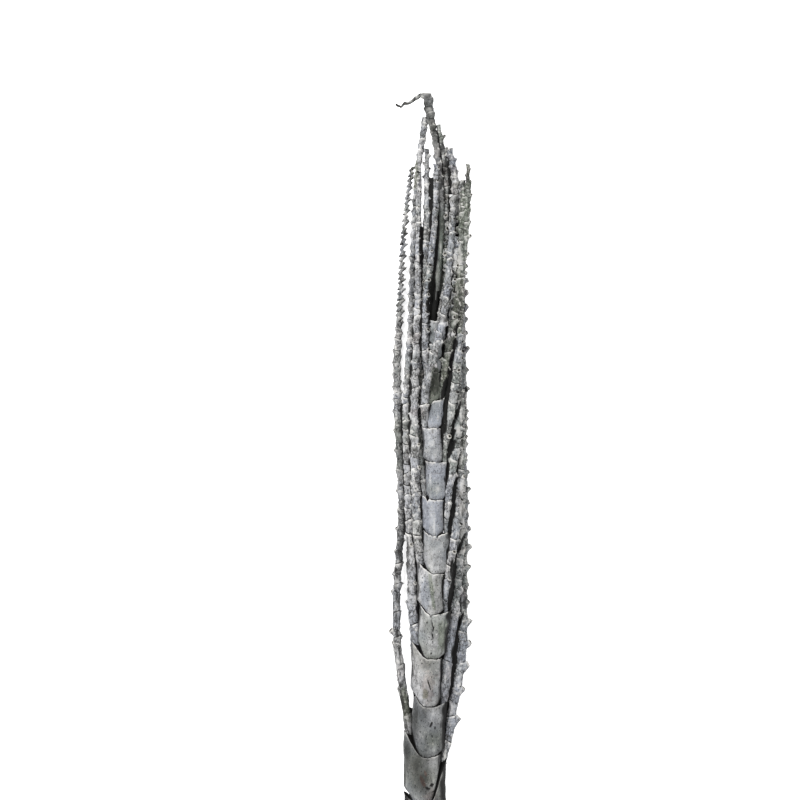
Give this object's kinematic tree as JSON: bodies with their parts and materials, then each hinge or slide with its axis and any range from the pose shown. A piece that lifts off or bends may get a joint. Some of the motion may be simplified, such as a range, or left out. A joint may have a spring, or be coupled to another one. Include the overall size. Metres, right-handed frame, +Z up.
{
  "type": "dried palm flower branch",
  "caption": "Dried, weathered palm flower branch: a tapered stalk in nested sheaths, with long jointed side branches swept up along it, sawn off at the foot and lying flat",
  "frame": {"origin": "on the surface that the branch lies on, under the middle of its bounding box", "axes": "+Y runs along the stalk from the sawn foot to the withered tip, +X across it and +Z up from the surface"},
  "size_m": [0.1054, 0.9502, 0.0507],
  "materials": {
    "stalk_skin": "dried olive-green stalk, smooth and dull, with faint long fibres and a pale sawn foot",
    "sheath_skin": "weathered blue-grey sheath, dull and fibrous, with torn pale lips, specks and brown stains",
    "branch_skin": "weathered grey joints, dull, pale on their edges and near-black in their folds"
  },
  "bodies": {
    "root": {"stalk": "stalk_skin", "sheath_01": "sheath_skin", "sheath_02": "sheath_skin", "sheath_03": "sheath_skin", "sheath_04": "sheath_skin", "sheath_05": "sheath_skin", "sheath_06": "sheath_skin", "sheath_07": "sheath_skin", "sheath_08": "sheath_skin", "sheath_09": "sheath_skin", "sheath_10": "sheath_skin", "sheath_11": "sheath_skin", "sheath_12": "sheath_skin", "sheath_13": "sheath_skin", "sheath_14": "sheath_skin", "branch_r1": "branch_skin", "branch_r2": "branch_skin", "branch_r3": "branch_skin", "branch_r4": "branch_skin", "branch_r5": "branch_skin", "branch_r6": "branch_skin", "branch_r7": "branch_skin", "branch_r8": "branch_skin", "branch_l1": "branch_skin", "branch_l2": "branch_skin", "branch_l3": "branch_skin", "branch_l4": "branch_skin", "branch_l5": "branch_skin", "branch_l6": "branch_skin"}
  },
  "joints": []
}
